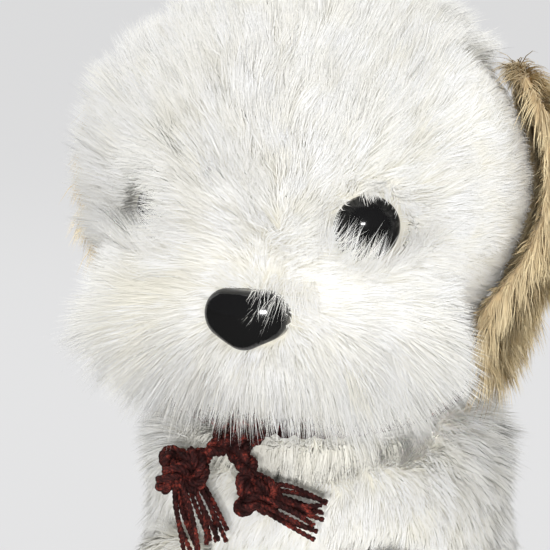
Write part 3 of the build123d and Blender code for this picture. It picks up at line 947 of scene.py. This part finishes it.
class PLUSH_OT_body_fur(bpy.types.Operator):
    """Grows the fur of the torso, the neck, the legs and the tail"""
    bl_idname = "plush.body_fur"
    bl_label = "Body fur"

    def execute(self, context):
        fur = context.scene.plush_fur
        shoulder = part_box("torso_front_panel")[1].z
        middle = 15 * MM             # the chest is before this plane and the back behind it

        def topmost(roots):
            return rise(roots[:, 2], shoulder - 20 * MM, 10 * MM)

        def downward(roots, normals):
            outward = unit(roots * np.array((1.0, 1.0, 0.0)))
            return DOWN + 0.25 * outward + 0.2 * wander(roots, 30 * MM, 5)

        def body_length(roots, normals):
            return fur.body_length * (0.9 + 0.35 * topmost(roots))

        def body_lift(roots, normals):
            return 34.0 + 30.0 * topmost(roots)

        def level(normals):
            return unit(normals * np.array((1.0, 1.0, 0.35)) + np.array((0.0, 0.0, 0.05)))

        def part(chosen):
            """Fur above the seat, dense on the upper chest, on a chosen part of the torso."""
            def keep(roots, normals):
                dense = (roots[:, 1] < middle) & (roots[:, 2] > shoulder - 60 * MM)
                return np.where(dense, 1.0, 0.4) * (normals[:, 2] > -0.75) * chosen(roots)
            return keep

        skin = bpy.data.objects["torso_skin"]
        parts = {"chest_fur_left": part(lambda r: (r[:, 1] < middle) & (r[:, 0] >= 0)),
                 "chest_fur_right": part(lambda r: (r[:, 1] < middle) & (r[:, 0] < 0)),
                 "torso_fur": part(lambda r: r[:, 1] >= middle)}
        for number, (name, keep) in enumerate(parts.items()):
            coat = Coat(skin, 1.2 * fur.body_density, body_length, downward, seed=20 + number, clumping=0.2,
                        lift=body_lift, keep=keep, facing=level)
            hairs_piece(name, [coat], "torso")

        def along_neck(roots):
            return (roots - np.array(NECK)) @ np.array(NECK_AXIS)

        def upward(roots, normals):
            return np.array(NECK_AXIS) + 0.2 * wander(roots, 10 * MM, 4)

        def below_cord(roots, normals):
            return along_neck(roots) < -4 * MM

        def under_cord(roots, normals):
            from_knot = np.linalg.norm(roots - np.array(KNOT), axis=1)
            return (along_neck(roots) < -3 * MM) & (along_neck(roots) > -8 * MM) & (from_knot > 13 * MM)

        def above_cord(roots, normals):
            return (along_neck(roots) > 3 * MM) & (roots[:, 1] > NECK.y - 10 * MM)

        neck = bpy.data.objects["neck_skin"]
        # The fur below the cord gets a lower tint, warmer and a little darker: painted shade of the band
        # under the chin.
        coats = [Coat(neck, fur.body_density, 2.1 * fur.neck_length, downward, seed=25, lift=50.0,
                      clumping=0.2, keep=below_cord, tint=lambda r, n, tints: 0.45 * tints, facing=level),
                 Coat(neck, 1.4 * fur.body_density, 1.8 * fur.neck_length, upward, seed=26, lift=56.0,
                      droop=0.0, keep=under_cord, tint=lambda r, n, tints: 0.6 * tints, facing=level),
                 Coat(neck, fur.body_density, fur.neck_length, downward, seed=28, lift=26.0, clumping=0.2,
                      keep=above_cord, facing=level)]
        hairs_piece("neck_fur", coats, "neck")

        for name in LIMBS:
            swing = "swing" if name.startswith("foreleg") else "splay"
            start = np.array(joints[f"{name}_{swing}"]["pos_m"])

            def outward(roots, normals, start=start):
                return unit(roots - start) + 0.35 * DOWN + 0.25 * wander(roots, 30 * MM, 6)

            coat = Coat(bpy.data.objects[name + "_skin"], 0.7 * fur.body_density, fur.leg_length, outward,
                        width=1.25 * fur.hair_width, seed=30 + len(name) + name.endswith("right"), lift=30.0,
                        keep=lambda r, n: n[:, 2] > -0.9)
            hairs_piece(name + "_fur", [coat], name)

        def tailward(roots, normals):
            return unit(roots - np.array(TAIL_ROOT)) + 0.2 * wander(roots, 20 * MM, 8)

        tail = bpy.data.objects["tail_skin"]
        coat = Coat(tail, fur.body_density, fur.leg_length, tailward, seed=40, lift=24.0)
        hairs_piece("tail_fur", [coat], "tail")
        return {"FINISHED"}


class PLUSH_OT_ears(bpy.types.Operator):
    """Makes the two ears: a thin padded flap with long hair outside and short pile inside"""
    bl_idname = "plush.ears"
    bl_label = "Ears"

    def execute(self, context):
        fur = context.scene.plush_fur
        voxel = context.scene.plush_cloth.ear_voxel
        for side in SIDES:
            body = "ear_" + side
            flap = make_skin(body + "_skin", body, [body + "_lining"], [body + "_lining", body + "_back"],
                             "tan_backing", voxel, smoothing=3, swell=0.3 * MM)
            round_off(flap, levels=0)
            hinge = np.array(joints[body + "_flap"]["pos_m"])

            # The left ear's front edge is brushed forward over the head.
            forward = 1.0 if side == "left" else 0.0

            def outer(roots, normals):
                return ((roots - np.array(HEAD)) * normals).sum(axis=1) > -2 * MM

            def inner(roots, normals):
                return ~outer(roots, normals)

            def falling(roots, normals, hinge=hinge, forward=forward):
                away = roots - hinge
                away[:, 2] = np.minimum(away[:, 2], 0)
                front = rise(roots[:, 1:2], hinge[1] + 4.8 * MM, -12 * MM) * forward
                flow = 0.5 * unit(away * np.array((0.2, 1.0, 1.0))) + DOWN
                return flow + front * np.array((0.0, -1.5, 0.1)) + 0.3 * wander(roots, 18 * MM, 9)

            def ear_lift(roots, normals, hinge=hinge, forward=forward):
                edge = rise(roots[:, 1], hinge[1] - 4 * MM, -12 * MM)
                top = rise(roots[:, 2], hinge[2] - 12 * MM, 12 * MM)
                return 32.0 + 16.0 * forward * edge * (1 - top) - 18.0 * top

            long_hair = Coat(flap, 0.65 * fur.face_density, fur.ear_length, falling, seed=50, lift=ear_lift,
                             droop=0.3, clumping=0.6, clump=4.0 * MM, keep=outer, steps=3, soften=0.7)
            short_hair = Coat(flap, 0.4 * fur.face_density, fur.lining_length, falling, seed=52, lift=24.0,
                              keep=inner, steps=3)
            hairs_piece(body + "_hair", [long_hair, short_hair], body, "tan_fur")
        return {"FINISHED"}


# ---- Soles, seat and label ---------------------------------------------------------------

class PLUSH_OT_fittings(bpy.types.Operator):
    """Finishes the label and covers the soles and the seat. Eyes, nose and washers stay as loaded"""
    bl_idname = "plush.fittings"
    bl_label = "Soles, seat and label"

    def execute(self, context):
        label = nodes["blank_label"].data
        label.materials.clear()
        label.materials.append(material("ribbon"))
        soles = [f"{limb}_{side}_sole" for limb in ("foreleg", "hindleg") for side in SIDES]
        for name in soles + ["seat_panel"]:
            body = name.rsplit("_", 1)[0] if name != "seat_panel" else "torso"
            pad = make_skin(name + "_pad", body, [name], [name], "short_pile",
                            1.2 * MM, smoothing=2)
            places = coordinates(pad.data)
            middle = (places.max(axis=0) + places.min(axis=0)) / 2
            set_coordinates(pad.data, middle + PAD_SHARE * (places - middle))
            pad.data.shade_smooth()
        return {"FINISHED"}


# ---- Cord --------------------------------------------------------------------------------

LINE_STEP = 0.35 * MM
FUZZ_EVERY = 5
FUZZ_WIDTH = 0.09 * MM
FUZZ_DEPTH = 0.14 * MM
GOLDEN_ANGLE = 2.39996
CORD_RADIUS = 3.25 * MM
TASSEL_REACH = 1.75          # tip of the longest yarn, in steps from the knot to the tassel's middle


def spline_points(controls):
    """Evenly spaced points along a smooth spline through the neighbourhood of its controls."""
    curve = bpy.data.curves.new("route", "CURVE")
    curve.dimensions = "3D"
    spline = curve.splines.new("NURBS")
    spline.points.add(len(controls) - 1)
    for point, place in zip(spline.points, controls):
        point.co = (*place, 1.0)
    spline.order_u = 3
    spline.use_endpoint_u = True
    spline.resolution_u = 24
    route = bpy.data.objects.new("route", curve)
    bpy.context.scene.collection.objects.link(route)
    mesh = evaluated_mesh(route)
    places = coordinates(mesh).astype(float)
    bpy.data.objects.remove(route)
    bpy.data.meshes.remove(mesh)
    return even_points(places)


def travelled(places):
    """Length of a line up to each of its points."""
    return np.concatenate(([0.0], np.cumsum(np.linalg.norm(np.diff(places, axis=0), axis=1))))


def even_points(places, spacing=LINE_STEP):
    """The same line with points at even distances."""
    lengths = travelled(places)
    number = max(4, int(round(lengths[-1] / spacing)))
    marks = np.linspace(0, lengths[-1], number)
    return np.stack([np.interp(marks, lengths, places[:, i]) for i in range(3)], axis=1)


def side_frames(places):
    """Two directions across a line at each point, carried along without twist."""
    ways = unit(np.gradient(places, axis=0))
    across = np.cross(ways[0], (0.3, 0.2, 1.0))
    sides = []
    for way in ways:
        across = across - way * (across @ way)
        across = across / np.linalg.norm(across)
        sides.append(across)
    sides = np.array(sides)
    return sides, np.cross(ways, sides)


def twisted(places, count, radius, pitch, turn=0.0):
    """Plies that wind round a line."""
    one, other = side_frames(places)
    angle = 2 * pi * travelled(places) / pitch + turn
    lines = []
    for ply in range(count):
        phase = (angle + 2 * pi * ply / count)[:, None]
        lines.append(places + radius * (np.cos(phase) * one + np.sin(phase) * other))
    return lines


def braided(places, yarn):
    """Three strands that plait along a line, each of three plies."""
    one, other = side_frames(places)
    length = travelled(places)
    rounds = max(1, round(length[-1] / yarn.braid_pitch))
    angle = 2 * pi * rounds * length / length[-1]
    lines = []
    for strand in range(3):
        phase = (angle + 2 * pi * strand / 3)[:, None]
        centre = places + yarn.braid_width * np.sin(phase) * one
        centre = centre + yarn.braid_depth * np.sin(2 * phase) * other
        lines += twisted(centre, 3, yarn.strand_lay, 5.0 * yarn.strand_lay)
    return lines


def tubes(name, lines, radius):
    """A mesh of round tubes along some lines, with their ends closed, and the fuzz on them."""
    curve = bpy.data.curves.new(name, "CURVE")
    curve.dimensions = "3D"
    curve.bevel_depth = radius
    curve.bevel_resolution = 1
    curve.use_fill_caps = True
    for line in lines:
        spline = curve.splines.new("POLY")
        spline.points.add(len(line) - 1)
        corners = np.column_stack((line, np.ones(len(line)))).astype(np.float32)
        spline.points.foreach_set("co", corners.ravel())
    route = bpy.data.objects.new(name + "_route", curve)
    bpy.context.scene.collection.objects.link(route)
    mesh = evaluated_mesh(route)
    mesh.name = name
    bpy.data.objects.remove(route)
    mesh.shade_smooth()
    add_fuzz(mesh, lines, radius)
    return mesh


def add_fuzz(mesh, lines, radius):
    """Loose fibres that stand off the yarn, one thin three-sided spike each."""
    length = bpy.context.scene.plush_yarn.fuzz_length
    rng = np.random.default_rng(5)
    shape = bmesh.new()
    shape.from_mesh(mesh)
    for line in lines:
        for step in range(2, len(line) - 2, FUZZ_EVERY):
            way = Vector(line[step + 1] - line[step])
            out = Vector(rng.normal(size=3)).cross(way).normalized()
            side = out.cross(way).normalized() * FUZZ_WIDTH
            foot = Vector(line[step]) + out * radius * 0.7
            along = way.normalized()
            lean = (out + along * rng.uniform(-1.2, 1.2)).normalized()
            tip = foot + lean * length * rng.uniform(0.4, 1.0)
            corners = (foot + side, foot - side, foot + along * FUZZ_DEPTH)
            ring = [shape.verts.new(place) for place in corners]
            peak = shape.verts.new(tip)
            for first, second in ((0, 1), (1, 2), (2, 0)):
                shape.faces.new((ring[first], ring[second], peak))
    shape.to_mesh(mesh)
    shape.free()


def overhand(centre, size, first, second):
    """Tight overhand knot as a line round its centre."""
    first, second = Vector(first).normalized(), Vector(second).normalized()
    third = first.cross(second).normalized()
    second = third.cross(first)
    turn = Matrix((first, second, third)).transposed()
    places = []
    for step in range(120):
        angle = 2 * pi * step / 119
        spot = (sin(angle) + 2 * sin(2 * angle), cos(angle) - 2 * cos(2 * angle), -1.4 * sin(3 * angle))
        places.append(centre + turn @ Vector(spot) * size)
    return even_points(np.array(places))


def knot_mesh(name, centre, radius, first, second, yarn):
    """A lumpy knot of the cord, filling a ball."""
    size = (radius - 1.6 * yarn.ply_radius) / 3.1
    line = overhand(centre, size, first, second)
    lines = []
    for strand in twisted(line, 3, 1.9 * yarn.ply_radius, 15 * yarn.ply_radius):
        lines += twisted(strand, 3, 0.75 * yarn.ply_radius, 7 * yarn.ply_radius)
    return tubes(name, lines, 0.8 * yarn.ply_radius)


def fringe_mesh(name, root, tip, start_radius, end_radius, yarn, seed):
    """Loose yarns that fan out from an end knot."""
    rng = np.random.default_rng(seed)
    reach = (tip - root).length
    way = (tip - root).normalized()
    side = way.cross(Vector((0.2, 1.0, 0.1))).normalized()
    other = way.cross(side)
    lines = []
    for number in range(yarn.fringe_count):
        angle = GOLDEN_ANGLE * number
        share = ((number + 0.5) / yarn.fringe_count) ** 0.5
        out = side * cos(angle) + other * sin(angle)
        begin = root + out * start_radius * share * 0.55
        spread = (end_radius - yarn.fringe_radius * 2) * share
        end = root + way * reach * rng.uniform(0.86, 1.0) + out * spread
        bow = Vector(rng.normal(size=3)) * reach * 0.09
        middle = begin.lerp(end, 0.5) + out * start_radius * 0.25 * share + bow
        inner = begin - way * start_radius * 0.4
        line = spline_points([inner, begin, middle, end])
        turn = rng.uniform(0, 2 * pi)
        lines += twisted(line, 2, 0.75 * yarn.fringe_radius, 7 * yarn.fringe_radius, turn)
    return tubes(name, lines, yarn.fringe_radius)


def yarn_piece(name, mesh, body, node):
    """One piece of yarn on its body, in place of its CAD node."""
    finished(add_object(name, mesh, "yarn"), body, [node])


def ball_of(node):
    """Centre and radius of a round CAD node."""
    low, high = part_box(node)
    return (low + high) / 2, (high.x - low.x) / 2


class PLUSH_OT_collar(bpy.types.Operator):
    """Makes the braided cord round the neck and its front knot"""
    bl_idname = "plush.collar"
    bl_label = "Cord and front knot"

    def execute(self, context):
        yarn = context.scene.plush_yarn
        ring_radius = ball_of("cord_loop")[1] - CORD_RADIUS
        side = Vector((1, 0, 0))
        front = NECK_AXIS.cross(side)
        circle = [NECK + (side * cos(a) + front * sin(a)) * ring_radius
                  for a in (2 * pi * step / 400 for step in range(401))]
        line = even_points(np.array(circle), 0.5 * MM)
        braid = tubes("cord_braid", braided(line, yarn), yarn.ply_radius)
        yarn_piece("cord_braid", braid, "collar", "cord_loop")
        radius = ball_of("cord_front_knot")[1]
        knot = knot_mesh("front_knot", KNOT, radius, (1, 0, 0.2), (0, 0.4, 1), yarn)
        yarn_piece("front_knot", knot, "collar", "cord_front_knot")
        return {"FINISHED"}


class PLUSH_OT_ties(bpy.types.Operator):
    """Makes the two hanging ends: a braided cord, an end knot and a tassel each"""
    bl_idname = "plush.ties"
    bl_label = "Hanging ends"

    def execute(self, context):
        yarn = context.scene.plush_yarn
        for number, side in enumerate(SIDES):
            body = "tie_" + side
            centre, radius = ball_of(body + "_end_knot")
            bend = KNOT.lerp(centre, 0.5) + Vector((0, -0.8 * MM, 0.8 * MM))
            line = spline_points([KNOT, bend, centre])
            braid = tubes(body + "_braid", braided(line, yarn), yarn.ply_radius)
            yarn_piece(body + "_braid", braid, body, body + "_cord")
            away = (centre - KNOT).normalized()
            knot = knot_mesh(body + "_knot", centre, radius, (0.9, 0.3, 0.4), away, yarn)
            yarn_piece(body + "_knot", knot, body, body + "_end_knot")
            tip = centre + (box_middle(body + "_tassel") - centre) * TASSEL_REACH
            fringe = fringe_mesh(body + "_fringe", centre, tip, radius * 0.7, radius * 1.15, yarn,
                                 60 + number)
            yarn_piece(body + "_fringe", fringe, body, body + "_tassel")
        return {"FINISHED"}


# ---- Stage -------------------------------------------------------------------------------

# The floor and the world are darkened for reflection rays only, so that shiny plastic mirrors little of them
# and stays black.
GLOSSY_SHARE = 0.05
MIRRORED = (0.05, 0.05, 0.06)
FLOOR_HALF = 12.0
FLOOR_DROP = 0.3 * MM
SENSOR_WIDTH = 36.0
# Sizes and places of the lamps, in metres
FLASH_SHIFTS = (-0.20, 0.06)
BACK_SHIFTS = (-0.8, 0.8)
FLASH_SIZE = 0.10
SOFT_SIZE = 0.8
OVERHEAD_SIZE = 0.7


def backdrop_material(name, colour, share):
    """Pale floor that shows its own colour and keeps the object's shadow."""
    made, tree, shader = new_material(name)
    tree.nodes.remove(shader)
    path = tree.add("ShaderNodeLightPath").outputs
    # Reflection rays see the floor dimmed to a small share of its colour.
    dim = tree.mix(path["Is Glossy Ray"], colour, dimmed(colour, GLOSSY_SHARE))
    plain = tree.add("ShaderNodeBsdfDiffuse", Color=dim).outputs[0]
    glow = tree.add("ShaderNodeEmission", Color=colour, Strength=1.0).outputs[0]
    seen = tree.either(path["Is Camera Ray"], plain, tree.either(share, plain, glow))
    tree.fill(tree.nodes["Material Output"], {"Surface": seen})
    return made


def add_lamp(name, place, size, watts):
    """A round lamp that shines on the head."""
    lamp = bpy.data.lights.new(name, "AREA")
    lamp.shape = "DISK"
    lamp.size = size
    lamp.energy = watts
    holder = bpy.data.objects.new(name, lamp)
    bpy.context.scene.collection.objects.link(holder)
    holder.location = place
    holder.rotation_euler = (HEAD - place).to_track_quat("-Z", "Y").to_euler()


class PLUSH_OT_stage(bpy.types.Operator):
    """Sets the floor, the lights and the camera"""
    bl_idname = "plush.stage"
    bl_label = "Stage"

    def execute(self, context):
        stage = context.scene.plush_stage
        colours = context.scene.plush_colours
        shape = bmesh.new()
        bmesh.ops.create_grid(shape, x_segments=1, y_segments=1, size=FLOOR_HALF)
        mesh = bpy.data.meshes.new("floor")
        shape.to_mesh(mesh)
        shape.free()
        share = stage.shown_share
        mesh.materials.append(backdrop_material("pale_floor", colours.backdrop, share))
        floor = bpy.data.objects.new("floor", mesh)
        floor.location.z = -FLOOR_DROP
        context.scene.collection.objects.link(floor)

        world = bpy.data.worlds.new("studio")
        context.scene.world = world
        world.use_nodes = True
        tree = Tree(world.node_tree)
        light = tree.nodes["Background"]
        tree.fill(light, {"Color": (1.0, 1.0, 1.0), "Strength": stage.world_strength})
        level = share + (1 - share) * stage.world_strength
        shown = tree.add("ShaderNodeBackground", Color=colours.backdrop, Strength=level).outputs[0]
        mirrored = tree.add("ShaderNodeBackground", Color=MIRRORED, Strength=1.0).outputs[0]
        path = tree.add("ShaderNodeLightPath").outputs
        # Reflection rays see a dark world in place of the even light.
        unseen = tree.either(path["Is Glossy Ray"], light.outputs[0], mirrored)
        tree.fill(tree.nodes["World Output"], {"Surface": tree.either(path["Is Camera Ray"], unseen, shown)})

        azimuth, elevation = stage.azimuth, stage.elevation
        away = Vector((sin(azimuth) * cos(elevation), -cos(azimuth) * cos(elevation), sin(elevation)))
        level_across = Vector((cos(azimuth), sin(azimuth), 0))
        upright = away.cross(level_across)
        across = level_across * cos(stage.roll) + upright * sin(stage.roll)
        above = away.cross(across)
        target = HEAD - across * stage.head_across - above * stage.head_above
        camera = bpy.data.objects.new("camera", bpy.data.cameras.new("camera"))
        context.scene.collection.objects.link(camera)
        camera.location = target + away * stage.distance
        camera.rotation_euler = Matrix((across, above, away)).transposed().to_euler()
        camera.data.sensor_width = SENSOR_WIDTH
        camera.data.lens = SENSOR_WIDTH * stage.distance / stage.field
        camera.data.clip_start = 0.01
        context.scene.camera = camera

        lamps = target + away * (stage.distance + stage.flash_back)
        for shift in FLASH_SHIFTS:
            add_lamp("flash", lamps + across * shift, FLASH_SIZE, stage.flash_watts)
        for shift in BACK_SHIFTS:
            place = HEAD - away * 0.5 + across * shift + above * 0.55
            add_lamp("back_light", place, SOFT_SIZE, stage.back_watts)
        add_lamp("soft_light", HEAD + away * 0.25 + above * 0.8, OVERHEAD_SIZE, stage.fill_watts)
        context.scene.view_settings.view_transform = "Standard"
        return {"FINISHED"}


# ---- Panel and registration --------------------------------------------------------------

STEPS = (PLUSH_OT_stage, PLUSH_OT_skins, PLUSH_OT_collar, PLUSH_OT_ties, PLUSH_OT_fittings, PLUSH_OT_ears,
         PLUSH_OT_head_fur, PLUSH_OT_body_fur)
GROUPS = {"plush_fur": PlushFur, "plush_cloth": PlushCloth, "plush_yarn": PlushYarn,
          "plush_colours": PlushColours, "plush_stage": PlushStage}


class PLUSH_PT_panel(bpy.types.Panel):
    """Lists the steps that dress the dog"""
    bl_label = "Plush dog"
    bl_idname = "PLUSH_PT_panel"
    bl_space_type = "VIEW_3D"
    bl_region_type = "UI"
    bl_category = "Plush dog"

    def draw(self, context):
        for step in STEPS:
            self.layout.operator(step.bl_idname)
        for name, group in GROUPS.items():
            box = self.layout.box()
            for key in group.__annotations__:
                box.prop(getattr(context.scene, name), key)


def register():
    for group in GROUPS.values():
        bpy.utils.register_class(group)
    for step in STEPS + (PLUSH_PT_panel,):
        bpy.utils.register_class(step)
    for name, group in GROUPS.items():
        setattr(bpy.types.Scene, name, PointerProperty(type=group))


def unregister():
    for name in GROUPS:
        delattr(bpy.types.Scene, name)
    for step in reversed(STEPS + (PLUSH_PT_panel,)):
        bpy.utils.unregister_class(step)
    for group in GROUPS.values():
        bpy.utils.unregister_class(group)


def plain(bounds):
    return [[float(value) for value in corner] for corner in bounds]


def main():
    register()
    for step in STEPS:
        getattr(bpy.ops.plush, step.bl_idname.split(".")[1])()


if __name__ == "__main__":
    main()
